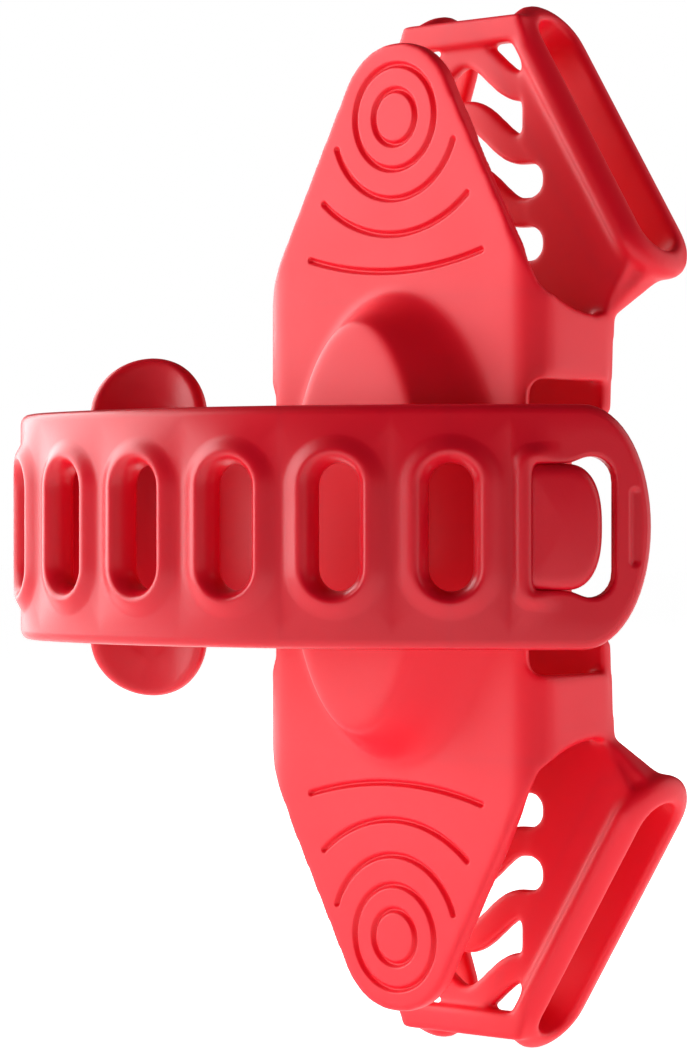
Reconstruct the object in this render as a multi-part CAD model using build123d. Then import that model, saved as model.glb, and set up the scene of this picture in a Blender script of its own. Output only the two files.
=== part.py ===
from build123d import *
import math
import os

# Silicone phone mount for a bicycle bar. Millimetres.
# X runs across the phone, Y from the bar towards the phone, Z along the phone.
# The origin is the centre of the saddle face that sits on the bar.

# ---- driving dimensions ----
BACK_Y = 7.5              # outer face of the back plate, so also the height of the saddle
DEPTH = 15.5              # from the back plate's outer face to the face the phone lies on
WALL = 2.2                # moulded wall of the holder
FRONT_Y = BACK_Y + DEPTH  # the face the phone lies on
REST_Y = FRONT_Y - 2.0    # back of the phone plate and of the wings
CORE_HALF_Z = 26.5        # where the two leaves leave the hollow middle
CORE_HALF_X = 23.0
CORNER_R = 6.0            # round long edge between the back plate and a side wall
TUNNEL_HALF_Z = 18.0
TUNNEL_EDGE_X = 20.5

WALL_BEND_X = CORE_HALF_X - CORNER_R
WAIST_POINTS = [(21.3, 13.0), (17.0, 10.5), (16.2, 8.5)]   # notch in the phone plate's side
REST_HALF_X = 22.5
TUNNEL_CORNER_R = 2.0

TAB_ROOT_Z = 31.0
TAB_TIP_Z = 51.0
TAB_TIP_R = 9.3
TAB_LEAN = math.radians(28.8)   # between a tab's straight side and the Z axis
TAB_SHOULDER_Z = TAB_TIP_Z - (CORE_HALF_X * math.cos(TAB_LEAN) - TAB_TIP_R) / math.sin(TAB_LEAN)
RING_RADII = (3.4, 6.5)         # engraved circles round the tab's tip centre
ARCS = ((51.0, 10.2, 70), (54.4, 18.0, 41), (82.8, 51.0, 16))   # centre height, radius, half spread
GROOVE_WIDTH = 1.0
GROOVE_DEPTH = 0.5

SADDLE_TOP = (10.9, 25.5)
SADDLE_FOOT = (18.5, 30.3)

WING_ROOT_Z = 31.0
RIM_LOW_Z = 61.0
RIM_TOP_Z = 64.4
RIM_DROP = 1.0            # how far the end rim stands out at the back
RIB_PITCH = 8.0
RIB_FIRST_Z = 31.5        # trough of the lowest wave rib
RIB_RISE = 4.9
RIB_HALF_WAVE = 9.0
RIB_THICK = 3.4
LATTICE_HALF_LOW = 12.2
LATTICE_HALF_HIGH = 9.0
LATTICE_STEP_Z = 47.5
PANEL_HALF_X = 25.0       # widest part of a side panel
PANEL_CORNER_Z = 33.2

LOOP_X = 19.1             # middle of a corner loop's mouth
LOOP_Z = 49.2
LOOP_LEAN = 32.0          # degrees between the mouth and the Z axis
LOOP_LENGTH = 39.4
LOOP_GAP = 6.3            # thickness of phone that the loop takes
LOOP_WALL = 2.0
BEAD_R = 1.75
BAND_DEPTH = 8.5
PEEL_DEPTH = 3.5          # how far inside the mouth the loop bends off the wing
BAND_SIDE_DEPTH = 5.0     # the band is deepest in the middle and shallower at its ends
BAND_HALF_MIDDLE = 9.0

STRAP_THICK = 2.7
STRAP_HALF_Z = 14.6
LIP_HEIGHT = 1.0
STRAP_RUN_Y = BACK_Y + 7.4     # outer face of the straight run through the tunnel
BEND_X = -41.5
BEND_R = 13.5
BEND_TURN = 132.0
KNEE_R = 24.0
KNEE_TURN = 30.0
SWEEP_R = 67.0
FIRST_SLOT = 6.2          # from the start of the knee to the middle of the first slot
SLOT_PITCH = 14.0
SLOT_SIZE = (5.4, 15.2)
FUNNEL_START = -1.2       # level where a slot begins to widen towards its lip
FUNNEL_TAPER = -38.0
LIP_SIZE = (12.6, 21.4)
HOLE_START = 44.2         # headings on the long sweep, in degrees
HOLE_END = 53.4
STRAP_END = 57.4
RING_TIP = 8.6            # length of the oval end
RING_LIP = (1.2, 18.0, 1.0)   # past the hole's start in degrees, width, height
RING_HOLE_LOW = 16.0      # width of the hole where the neck comes through
RING_HOLE_HIGH = (17.6, 6.0)
EAR_HEADING = 209.0
EAR_R = 8.0
EAR_THICK = 2.0
TONGUE_HALF_Z = 7.5
TONGUE_LENGTH = 8.6
TONGUE_TIP = 2.8          # length of the tongue's oval end
TONGUE_CREST = 1.0
TONGUE_LOW = 1.8          # from the strap's outer face down to the tongue's underside
TONGUE_START = HOLE_START + math.degrees(0.5 / SWEEP_R)
NECK_HALF_Z = 5.8
NECK_R = 1.35
NECK_POINTS = [(21.5, STRAP_RUN_Y - NECK_R), (24.6, STRAP_RUN_Y - 2.2), (26.7, STRAP_RUN_Y - 5.6),
               (28.2, STRAP_RUN_Y - 11.0)]
OVERLAP = 0.5             # how far a fused part runs into its neighbour
GAP = 0.05
RIM_GAP = 0.2             # the rim is deeper than the wing, so a loop that is peeled right back needs more room


def plate(sketch, low_y, high_y):
    """Extrude a sketch drawn in X and Z between two heights of Y."""
    return extrude(Plane.XZ.offset(-low_y) * sketch, -(high_y - low_y))


def outline(points):
    """Face inside a closed run of straight edges."""
    return make_face(Polyline(*points, close=True))


def ring_sector(centre, inner, outer, start, end):
    """Face between two arcs, from one polar angle to another, in degrees."""
    def at(radius, angle):
        turn = math.radians(angle)
        return (centre[0] + radius * math.cos(turn), centre[1] + radius * math.sin(turn))

    middle = (start + end) / 2
    edges = [
        ThreePointArc(at(outer, start), at(outer, middle), at(outer, end)),
        Line(at(outer, end), at(inner, end)),
        ThreePointArc(at(inner, end), at(inner, middle), at(inner, start)),
        Line(at(inner, start), at(outer, start)),
    ]
    return make_face(edges)


# ---- holder: hollow middle ----
def back_plate():
    """Flat back between the rounded long edges, widening where the tabs begin."""
    quarter = [(WALL_BEND_X, CORE_HALF_Z), (CORE_HALF_X, CORE_HALF_Z), (CORE_HALF_X, TAB_SHOULDER_Z),
               (tab_half_width(TAB_ROOT_Z), TAB_ROOT_Z)]
    top = quarter + [(-x, z) for x, z in reversed(quarter)]
    shape = outline(top + [(x, -z) for x, z in reversed(top)])
    return plate(shape, BACK_Y, BACK_Y + WALL)


def side_wall(side):
    """Rounded long edge and side wall, with the tunnel's window cut through."""
    bend = (WALL_BEND_X, BACK_Y + CORNER_R)
    section = ring_sector(bend, CORNER_R - WALL, CORNER_R, -90, 0)
    section += Pos(CORE_HALF_X - WALL / 2, (bend[1] + REST_Y) / 2) * Rectangle(WALL, REST_Y - bend[1])
    solid = extrude(section, CORE_HALF_Z, both=True)
    window = Box(CORE_HALF_X, 3 * DEPTH, 2 * TUNNEL_HALF_Z)
    window = fillet(window.edges().filter_by(Axis.X), TUNNEL_CORNER_R)
    solid -= Pos(TUNNEL_EDGE_X + CORE_HALF_X / 2, FRONT_Y, 0) * window
    return solid if side > 0 else mirror(solid, about=Plane.YZ)


def phone_rest():
    """Plate the phone lies on, waisted and notched on both sides."""
    quarter = [(REST_HALF_X, CORE_HALF_Z)] + WAIST_POINTS
    right = quarter + [(x, -z) for x, z in reversed(quarter)]
    left = [(-x, z) for x, z in reversed(right)]
    return plate(outline(right + left), REST_Y, FRONT_Y)


def saddle():
    """Raised pad that sits on the bar, with sides that spread into the back plate."""
    foot = Plane.XZ.offset(-BACK_Y) * Ellipse(*SADDLE_FOOT)
    top = Plane.XZ * Ellipse(*SADDLE_TOP)
    return loft([foot, top])


# ---- finger tabs ----
def tab_half_width(z):
    """Half width of a tab's straight taper at height z."""
    return (TAB_TIP_R - (z - TAB_TIP_Z) * math.sin(TAB_LEAN)) / math.cos(TAB_LEAN)


def finger_tab():
    """Upper tab: straight taper to a round tip, with engraved circles and arcs."""
    touch_x = TAB_TIP_R * math.cos(TAB_LEAN)
    touch_z = TAB_TIP_Z + TAB_TIP_R * math.sin(TAB_LEAN)
    root_x = tab_half_width(TAB_ROOT_Z)
    shape = make_face([
        Line((-root_x, TAB_ROOT_Z), (root_x, TAB_ROOT_Z)),
        Line((root_x, TAB_ROOT_Z), (touch_x, touch_z)),
        ThreePointArc((touch_x, touch_z), (0, TAB_TIP_Z + TAB_TIP_R), (-touch_x, touch_z)),
        Line((-touch_x, touch_z), (-root_x, TAB_ROOT_Z)),
    ])
    solid = plate(shape, BACK_Y, BACK_Y + WALL)
    half = GROOVE_WIDTH / 2
    marks = []
    for radius in RING_RADII:
        marks.append(Pos(0, TAB_TIP_Z) * (Circle(radius + half) - Circle(radius - half)))
    for centre_z, radius, spread in ARCS:
        marks.append(ring_sector((0, centre_z), radius - half, radius + half, -90 - spread, -90 + spread))
    for mark in marks:
        solid -= plate(mark, BACK_Y - 1, BACK_Y + GROOVE_DEPTH)
    return solid


# ---- wings ----
def loop_line(depth):
    """Point on, and half plane inside, the line this far inside a loop's mouth."""
    lean = math.radians(LOOP_LEAN)
    across = (math.cos(lean), math.sin(lean))
    along = (math.sin(lean), -math.cos(lean))
    point = (LOOP_X - depth * across[0], LOOP_Z - depth * across[1])
    return point, along, across


def inside_peel_lines(gap=GAP):
    """Region of the upper wing between the two lines where its loops bend off."""
    point, along, across = loop_line(PEEL_DEPTH + gap)
    reach = 60
    right = [(point[0] - reach * along[0], point[1] - reach * along[1]),
             (point[0] + reach * along[0], point[1] + reach * along[1])]
    left = [(-x, z) for x, z in reversed(right)]
    return outline([right[0], right[1], left[0], left[1]])


def stretch_band():
    """Plain band between the phone plate and the upper wing, which stretches."""
    shape = outline([(-REST_HALF_X, CORE_HALF_Z), (REST_HALF_X, CORE_HALF_Z),
                     (CORE_HALF_X, WING_ROOT_Z), (-CORE_HALF_X, WING_ROOT_Z)])
    return plate(shape, REST_Y, FRONT_Y)


def wave_rib(base_z):
    """One wave rib: a hump in the middle and a turn up at each end, in arcs."""
    radius = (RIB_HALF_WAVE**2 + RIB_RISE**2) / (4 * RIB_RISE)
    turn = 2 * math.degrees(math.atan(RIB_RISE / RIB_HALF_WAVE))
    inner = radius - RIB_THICK / 2
    outer = radius + RIB_THICK / 2
    rib = ring_sector((0, base_z + RIB_RISE - radius), inner, outer, 90 - turn, 90 + turn)
    rib += ring_sector((RIB_HALF_WAVE, base_z + radius), inner, outer, -90 - turn, -90)
    rib += ring_sector((-RIB_HALF_WAVE, base_z + radius), inner, outer, -90, -90 + turn)
    for side in (-1, 1):
        stub_x = side * (RIB_HALF_WAVE + LATTICE_HALF_LOW) / 2
        rib += Pos(stub_x, base_z) * Rectangle(LATTICE_HALF_LOW - RIB_HALF_WAVE, RIB_THICK)
    return rib


def lattice_window():
    """Part of the upper wing that the wave ribs cross."""
    low = Rectangle(2 * LATTICE_HALF_LOW, LATTICE_STEP_Z - WING_ROOT_Z)
    high = Rectangle(2 * LATTICE_HALF_HIGH, RIM_LOW_Z - LATTICE_STEP_Z)
    window = Pos(0, (WING_ROOT_Z + LATTICE_STEP_Z) / 2) * low
    window += Pos(0, (LATTICE_STEP_Z + RIM_LOW_Z) / 2) * high
    return window & inside_peel_lines()


def wave_lattice():
    """The wave ribs of the upper wing."""
    ribs = wave_rib(RIB_FIRST_Z)
    for count in range(1, 4):
        ribs += wave_rib(RIB_FIRST_Z + count * RIB_PITCH)
    return plate(ribs & lattice_window(), REST_Y, FRONT_Y)


def side_panels():
    """Solid panels of the upper wing on both sides of the wave ribs."""
    right = [(CORE_HALF_X, WING_ROOT_Z), (PANEL_HALF_X, PANEL_CORNER_Z), (PANEL_HALF_X, RIM_LOW_Z)]
    full = outline(right + [(-x, z) for x, z in reversed(right)])
    return plate((full & inside_peel_lines()) - lattice_window(), REST_Y, FRONT_Y)


def rim():
    """Bar along the end of the upper wing."""
    full = Pos(0, (RIM_LOW_Z + RIM_TOP_Z) / 2) * Rectangle(2 * CORE_HALF_X, RIM_TOP_Z - RIM_LOW_Z)
    return plate(full & inside_peel_lines(RIM_GAP), REST_Y - RIM_DROP, FRONT_Y)


def corner_loop():
    """Upper right loop: an oblong band round a beaded mouth."""
    _, along, across = loop_line(0)
    middle_y = FRONT_Y + LOOP_GAP / 2
    mouth = Plane(origin=(LOOP_X, middle_y, LOOP_Z), x_dir=(along[0], 0, along[1]),
                  z_dir=(across[0], 0, across[1]))
    height = LOOP_GAP + 2 * LOOP_WALL
    section = SlotOverall(LOOP_LENGTH, height) - SlotOverall(LOOP_LENGTH - 2 * LOOP_WALL, LOOP_GAP)
    tube = extrude(mouth * section, -2 * BAND_DEPTH)
    path = mouth.offset(-BEAD_R) * SlotOverall(LOOP_LENGTH - LOOP_WALL, height - LOOP_WALL).wire()
    start = path @ 0
    bead = sweep(Plane(origin=start, z_dir=path % 0) * Circle(BEAD_R), path=path)
    half = LOOP_LENGTH / 2 + 2
    band = outline([(-half, 1), (half, 1), (half, -BAND_SIDE_DEPTH), (BAND_HALF_MIDDLE, -BAND_DEPTH),
                    (-BAND_HALF_MIDDLE, -BAND_DEPTH), (-half, -BAND_SIDE_DEPTH)])
    strip = outline([(-half, 1), (half, 1), (half, -PEEL_DEPTH), (-half, -PEEL_DEPTH)])
    flat = Plane(origin=(LOOP_X, 0, LOOP_Z), x_dir=(along[0], 0, along[1]), z_dir=(0, -1, 0))
    keep = extrude(flat.offset(-(FRONT_Y + 0.2)) * band, -40) + extrude(flat * strip, -(FRONT_Y + 0.2))
    return (tube + bead) & keep


# ---- strap ----
def turn_point(centre, radius, heading):
    """Point of a left-hand turn where the strap runs at this heading, in degrees."""
    angle = math.radians(heading)
    return (centre[0] + radius * math.sin(angle), centre[1] - radius * math.cos(angle))


def next_centre(centre, radius, heading, next_radius):
    """Centre of the turn that follows on smoothly at this heading."""
    point = turn_point(centre, radius, heading)
    back = turn_point((0, 0), next_radius, heading)
    return (point[0] - back[0], point[1] - back[1])


BEND_CENTRE = (BEND_X, STRAP_RUN_Y - BEND_R)
KNEE_HEADING = 180 + BEND_TURN - 360
SWEEP_HEADING = KNEE_HEADING + KNEE_TURN
KNEE_CENTRE = next_centre(BEND_CENTRE, BEND_R, KNEE_HEADING, KNEE_R)
SWEEP_CENTRE = next_centre(KNEE_CENTRE, KNEE_R, SWEEP_HEADING, SWEEP_R)


def heading_at(length):
    """Heading of the strap this far along from the start of the knee."""
    knee_length = math.radians(KNEE_TURN) * KNEE_R
    if length < 0:
        return KNEE_HEADING + math.degrees(length / BEND_R)
    if length < knee_length:
        return KNEE_HEADING + math.degrees(length / KNEE_R)
    return SWEEP_HEADING + math.degrees((length - knee_length) / SWEEP_R)


def turn_at(heading):
    """Centre and outer radius of the turn that holds this heading."""
    if heading < KNEE_HEADING:
        return BEND_CENTRE, BEND_R
    if heading < SWEEP_HEADING:
        return KNEE_CENTRE, KNEE_R
    return SWEEP_CENTRE, SWEEP_R


def strap_band(start, end, low, high):
    """Stretch of strap between two headings, low and high measured from its outer face."""
    cuts = [start] + [cut for cut in (KNEE_HEADING, SWEEP_HEADING) if start < cut < end] + [end]
    faces = []
    for first, last in zip(cuts, cuts[1:]):
        centre, radius = turn_at((first + last) / 2)
        faces.append(ring_sector(centre, radius + low, radius + high, first - 90, last - 90))
    band = faces[0]
    for face in faces[1:]:
        band += face
    return band


def strap_plane(heading, lift=0.0):
    """Plane on the strap's outer face, X along the strap and Y along the part's Z."""
    centre, radius = turn_at(heading)
    point = turn_point(centre, radius + lift, heading)
    angle = math.radians(heading)
    normal = (math.sin(angle), -math.cos(angle), 0)
    return Plane(origin=(point[0], point[1], 0), x_dir=(math.cos(angle), math.sin(angle), 0), z_dir=normal)


def through(plane, sketch):
    """Solid that runs a sketch right through the strap."""
    return extrude(plane.offset(-8) * sketch, 16)


def strap_link(start, end, slot_heading):
    """Stretch of strap with one lipped slot."""
    link = extrude(strap_band(start, end, -STRAP_THICK, 0), STRAP_HALF_Z, both=True)
    plane = strap_plane(slot_heading)
    raised = extrude(strap_band(start, end, -OVERLAP, LIP_HEIGHT), STRAP_HALF_Z, both=True)
    link += raised & through(plane, RectangleRounded(*LIP_SIZE, LIP_SIZE[0] / 2 - 0.3))
    slot = SlotOverall(SLOT_SIZE[1], SLOT_SIZE[0], rotation=90)
    funnel = extrude(plane.offset(FUNNEL_START) * slot, LIP_HEIGHT - FUNNEL_START + 0.6, taper=FUNNEL_TAPER)
    return link - through(plane, slot) - funnel


def ring_outline():
    """Outline of the strap's end: straight sides and an oval tip, from the ring's start."""
    straight = math.radians(STRAP_END - RING_START) * SWEEP_R - RING_TIP
    side = Pos(straight / 2 - 2, 0) * Rectangle(straight + 4, 2 * STRAP_HALF_Z)
    return side + Pos(straight, 0) * Ellipse(RING_TIP, STRAP_HALF_Z)


def strap_ring():
    """End of the strap with the hole that hooks over the tongue."""
    band = extrude(strap_band(RING_START, STRAP_END + 2, -STRAP_THICK, 0), STRAP_HALF_Z, both=True)
    reach, lip_width, lip_height = RING_LIP
    lip = extrude(strap_band(RING_START, HOLE_START + reach, -OVERLAP, lip_height), lip_width / 2, both=True)
    hole_half = math.radians(HOLE_END - HOLE_START) * SWEEP_R / 2
    end_half = RING_HOLE_HIGH[1] / 2
    low = Pos(-end_half / 2, 0) * Rectangle(2 * hole_half - end_half, RING_HOLE_LOW)
    high = Pos(hole_half - end_half, 0) * SlotOverall(*RING_HOLE_HIGH, rotation=90)
    solid = band & through(strap_plane(RING_START), ring_outline())
    return (solid + lip) - through(strap_plane((HOLE_START + HOLE_END) / 2), low + high)


def ear():
    """Upper ear: a thin half-round lug on the strap's edge, bent with the strap."""
    reach = math.degrees(EAR_R / BEND_R) + 6
    band = strap_band(EAR_HEADING - reach - 360, EAR_HEADING + reach - 360, -EAR_THICK - 0.3, -0.3)
    lug = extrude(Plane.XY.offset(STRAP_HALF_Z) * band, EAR_R + 1)
    return lug & through(strap_plane(EAR_HEADING - 360), Pos(0, STRAP_HALF_Z) * Circle(EAR_R))


def straight_run(low_x, high_x):
    """Section of the strap's straight run between two values of X."""
    middle_y = STRAP_RUN_Y - STRAP_THICK / 2
    return Pos((low_x + high_x) / 2, middle_y) * Rectangle(high_x - low_x, STRAP_THICK)


def ear_span():
    """Strap from the tunnel's mouth round the tight bend to the first slot."""
    run = straight_run(BEND_X, -CORE_HALF_X)
    bend = strap_band(-180, LINK_CUTS[0], -STRAP_THICK, 0)
    return extrude(run + bend, STRAP_HALF_Z, both=True)


def anchor():
    """Flat part of the strap inside the tunnel."""
    return extrude(straight_run(-CORE_HALF_X, NECK_POINTS[0][0]), STRAP_HALF_Z, both=True)


def neck():
    """Neck that comes out of the tunnel and up through the ring's hole."""
    shape = None
    for first, last in zip(NECK_POINTS, NECK_POINTS[1:]):
        run = Vector(*last) - Vector(*first)
        middle = (Vector(*first) + Vector(*last)) / 2
        turn = math.degrees(math.atan2(run.Y, run.X))
        piece = Pos(middle.X, middle.Y) * SlotCenterToCenter(run.length, 2 * NECK_R, rotation=turn)
        shape = piece if shape is None else shape + piece
    shape -= Pos(NECK_POINTS[0][0] - CORE_HALF_X, 0) * Rectangle(2 * CORE_HALF_X, 200)
    solid = extrude(shape, NECK_HALF_Z, both=True)
    below = Pos(SWEEP_CENTRE[0], SWEEP_CENTRE[1]) * Circle(SWEEP_R - TONGUE_LOW - GAP)
    return solid & extrude(below, 30, both=True)


def tongue():
    """Tongue that lies in the ring's hole and keeps the strap hooked."""
    end = TONGUE_START + math.degrees(TONGUE_LENGTH / SWEEP_R)
    band = extrude(strap_band(TONGUE_START, end, -TONGUE_LOW, TONGUE_CREST), TONGUE_HALF_Z, both=True)
    straight = TONGUE_LENGTH - TONGUE_TIP
    shape = Pos(straight / 2 - 1.5, 0) * Rectangle(straight + 3, 2 * TONGUE_HALF_Z)
    shape += Pos(straight, 0) * Ellipse(TONGUE_TIP, TONGUE_HALF_Z)
    return band & through(strap_plane(TONGUE_START), shape)


SLOT_HEADINGS = [heading_at(FIRST_SLOT + count * SLOT_PITCH) for count in range(6)]
LINK_CUTS = [heading_at(FIRST_SLOT + (count - 0.5) * SLOT_PITCH) for count in range(7)]
RING_START = LINK_CUTS[-1]


def main():
    upper = {
        "finger_tab": finger_tab(),
        "stretch_band": stretch_band(),
        "wave_lattice": wave_lattice(),
        "side_panels": side_panels(),
        "rim": rim(),
    }
    parts = {
        "back_plate": back_plate(),
        "left_side_wall": side_wall(-1),
        "right_side_wall": side_wall(1),
        "phone_rest": phone_rest(),
        "bar_saddle": saddle(),
        "strap_anchor": anchor(),
        "strap_ear_span": ear_span(),
        "strap_ears": ear() + mirror(ear(), about=Plane.XY),
        "hook_neck": neck(),
        "hook_tongue": tongue(),
        "strap_ring_end": strap_ring(),
    }
    for name, solid in upper.items():
        parts["upper_" + name] = solid
        parts["lower_" + name] = mirror(solid, about=Plane.XY)
    loop = corner_loop()
    parts["upper_right_loop"] = loop
    parts["upper_left_loop"] = mirror(loop, about=Plane.YZ)
    parts["lower_right_loop"] = mirror(loop, about=Plane.XY)
    parts["lower_left_loop"] = mirror(parts["upper_left_loop"], about=Plane.XY)
    for count, heading in enumerate(SLOT_HEADINGS):
        parts[f"strap_link_{count + 1}"] = strap_link(LINK_CUTS[count], LINK_CUTS[count + 1], heading)

    os.makedirs("parts", exist_ok=True)
    for name, solid in parts.items():
        export_step(solid, f"parts/{name}.step")


main()
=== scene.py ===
"""Looks of a silicone phone mount for a bicycle bar: a holder moulding and a strap moulding.

Mesh code works in millimetres in the frame's axes: X across the phone, Y from the bar towards
the phone, Z along the phone. Meshes are scaled to metres when they become objects.
"""
import math

import bmesh
import bpy
import numpy as np
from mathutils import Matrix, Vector
from mathutils.geometry import delaunay_2d_cdt


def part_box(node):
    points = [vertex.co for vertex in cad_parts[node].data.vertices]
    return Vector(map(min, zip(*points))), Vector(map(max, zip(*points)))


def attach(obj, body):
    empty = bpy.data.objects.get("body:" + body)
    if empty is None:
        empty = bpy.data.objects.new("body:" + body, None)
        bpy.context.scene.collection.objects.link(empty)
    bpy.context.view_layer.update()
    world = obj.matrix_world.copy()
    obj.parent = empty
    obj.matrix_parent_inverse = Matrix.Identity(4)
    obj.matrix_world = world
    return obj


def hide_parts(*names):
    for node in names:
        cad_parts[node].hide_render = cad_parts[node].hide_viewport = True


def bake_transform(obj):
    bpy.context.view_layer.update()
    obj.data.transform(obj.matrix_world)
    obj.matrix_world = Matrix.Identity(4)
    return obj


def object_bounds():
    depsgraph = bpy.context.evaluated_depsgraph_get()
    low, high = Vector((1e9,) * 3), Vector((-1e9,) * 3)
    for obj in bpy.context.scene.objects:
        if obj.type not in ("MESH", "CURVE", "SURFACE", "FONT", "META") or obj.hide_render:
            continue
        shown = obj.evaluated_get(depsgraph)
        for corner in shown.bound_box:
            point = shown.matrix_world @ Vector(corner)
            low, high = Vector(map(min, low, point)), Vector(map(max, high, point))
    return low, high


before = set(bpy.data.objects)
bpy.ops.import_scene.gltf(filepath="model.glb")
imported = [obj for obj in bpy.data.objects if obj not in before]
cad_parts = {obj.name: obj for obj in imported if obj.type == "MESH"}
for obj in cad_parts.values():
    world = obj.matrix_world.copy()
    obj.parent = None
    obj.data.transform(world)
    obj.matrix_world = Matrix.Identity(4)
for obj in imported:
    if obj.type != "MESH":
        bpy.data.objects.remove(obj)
cad_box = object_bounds()

MM = 0.001
CAP_DEPTH = 0.35                 # how far under the skin a piece is closed at its cuts


def box_mm(node):
    """Lowest and highest corner of a CAD node, in millimetres."""
    low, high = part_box(node)
    return np.array(low) / MM, np.array(high) / MM


back_low, back_high = box_mm("back_plate")
rest_low, rest_high = box_mm("phone_rest")
tab_high = box_mm("upper_finger_tab")[1]
band_high = box_mm("upper_stretch_band")[1]
rim_low, rim_high = box_mm("upper_rim")
run_low, run_high = box_mm("strap_anchor")

# ---- holder sizes ----
BACK_Y = back_low[1]
WALL = back_high[1] - back_low[1]
HALF_X = back_high[0]
REST_Y = rest_low[1]
FRONT_Y = rest_high[1]
CORE_Z = rest_high[2]
EDGE_R = 4.0                     # round long edge between the back and a side wall
EDGE_LENGTH = EDGE_R * math.pi / 2
TAB_TIP_R = 9.3
TAB_TIP_Z = tab_high[2] - TAB_TIP_R
TAB_LEAN = math.radians(28.8)
SADDLE_TOP = (10.9, 25.0)
SADDLE_FOOT = (18.8, 30.0)
TUNNEL_HALF_Z = 17.9
WING_ROOT_Z = band_high[2]
RIM_LOW_Z = rim_low[2]
RIM_TOP_Z = rim_high[2]
RIB_PITCH = 7.95
RIB_FIRST_Z = 31.5
RIB_RISE = 4.9
RIB_HALF_WAVE = 9.0
RIB_THICK = 3.8
LATTICE_LOW = 10.3               # half width of the ribs' window below the step, and above it
LATTICE_HIGH = 9.2
LATTICE_BULGE = 2.3              # how much wider the rounded ends of the lower openings are
LATTICE_STEP_Z = 47.5
LOOP_X = 19.1
LOOP_Z = 49.2
LOOP_LEAN = math.radians(32.0)
LOOP_LENGTH = 39.4
LOOP_GAP = 6.3
LOOP_WALL = 2.0
BEAD_DEPTH = 3.4                 # depth of the rolled mouth on the wing's side, where the wing carries on
GROOVE_REACH = 0.55              # half width of the tabs' engraved lines
GROOVE_DEPTH = 0.5
ACROSS = np.array([math.cos(LOOP_LEAN), 0.0, math.sin(LOOP_LEAN)])
ALONG = np.array([math.sin(LOOP_LEAN), 0.0, -math.cos(LOOP_LEAN)])
UP = np.array([0.0, 1.0, 0.0])

# ---- strap sizes ----
STRAP_THICK = run_high[1] - run_low[1]
STRAP_HALF_Z = run_high[2]
STRAP_RUN_Y = run_high[1]
BEND_X = -41.5
BEND_R = 13.5
BEND_TURN = 132.0
KNEE_R = 24.0
KNEE_TURN = 30.0
SWEEP_R = 67.0
FIRST_SLOT = 6.2                 # from the start of the knee to the middle of the first slot
SLOT_PITCH = 14.0
SLOT_R = 2.75                    # half width of a slot
SLOT_STRAIGHT = 4.9              # half length of a slot's straight side
EDGE_ROUND = 1.25                # rounding of the strap's long edges


# ---- mesh tools ----
def catmull_rom(points, steps=6):
    """Smooth line through a few points, ends included."""
    pts = [np.array(p, float) for p in points]
    pts = [2 * pts[0] - pts[1]] + pts + [2 * pts[-1] - pts[-2]]
    line = []
    for a, b, c, d in zip(pts, pts[1:], pts[2:], pts[3:]):
        for step in range(steps):
            t = step / steps
            line.append(0.5 * (2 * b + (c - a) * t + (2 * a - 5 * b + 4 * c - d) * t**2
                               + (3 * b - a - 3 * c + d) * t**3))
    line.append(pts[-2])
    return line


def arc(centre, radius, start, end, steps=12):
    """Points on an arc, angles in radians."""
    return [np.array([centre[0] + radius * math.cos(a), centre[1] + radius * math.sin(a)])
            for a in np.linspace(start, end, steps + 1)]


def mirrored_outline(quarter):
    """Closed outline from its upper right quarter, mirrored both ways."""
    right = list(quarter) + [(x, -z) for x, z in reversed(quarter)]
    loop = []
    for x, z in right + [(-x, z) for x, z in reversed(right)]:
        if not loop or math.hypot(x - loop[-1][0], z - loop[-1][1]) > 1e-3:
            loop.append((float(x), float(z)))
    if math.hypot(loop[0][0] - loop[-1][0], loop[0][1] - loop[-1][1]) < 1e-3:
        loop.pop()
    return loop


def inside(points, loops):
    """True for each point that lies inside an odd number of the loops."""
    points = np.asarray(points, float)
    odd = np.zeros(len(points), bool)
    for loop in loops:
        a = np.asarray(loop, float)
        b = np.roll(a, -1, axis=0)
        for (x0, y0), (x1, y1) in zip(a, b):
            if y0 == y1:
                continue
            crosses = (y0 > points[:, 1]) != (y1 > points[:, 1])
            odd ^= crosses & (points[:, 0] < (x1 - x0) * (points[:, 1] - y0) / (y1 - y0) + x0)
    return odd


def sheet(loops, spacing, place):
    """Closed solid over a flat region: place(points, level) gives its outer and inner faces."""
    points, edges = [], []
    for loop in loops:
        first = len(points)
        points += [tuple(p) for p in loop]
        edges += [(first + i, first + (i + 1) % len(loop)) for i in range(len(loop))]
    low, high = np.min(points, axis=0), np.max(points, axis=0)
    rim_points = np.array(points)
    grid = np.array([(x, z) for x in np.arange(low[0], high[0], spacing)
                     for z in np.arange(low[1], high[1], spacing)])
    gaps = np.min(np.hypot(grid[:, None, 0] - rim_points[None, :, 0],
                           grid[:, None, 1] - rim_points[None, :, 1]), axis=1)
    grid = grid[inside(grid, loops) & (gaps > 0.6 * spacing)]
    points += [tuple(p) for p in grid]
    result = delaunay_2d_cdt([Vector(p) for p in points], edges, [], 0, 1e-6)
    flat = np.array([tuple(v) for v in result[0]])
    keep = inside([flat[list(f)].mean(axis=0) for f in result[2]], loops)
    faces = [f for f, k in zip(result[2], keep) if k]
    count = len(flat)
    verts = np.vstack([place(flat, 0), place(flat, 1)])
    sides = {}
    for f in faces:
        for a, b in zip(f, list(f[1:]) + [f[0]]):
            sides[(a, b)] = sides.get((a, b), 0) + 1
    border = [(a, b) for (a, b) in sides if (b, a) not in sides]
    solid = [tuple(f) for f in faces] + [tuple(i + count for i in reversed(f)) for f in faces]
    solid += [(b, a, a + count, b + count) for a, b in border]
    return verts, solid


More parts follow.
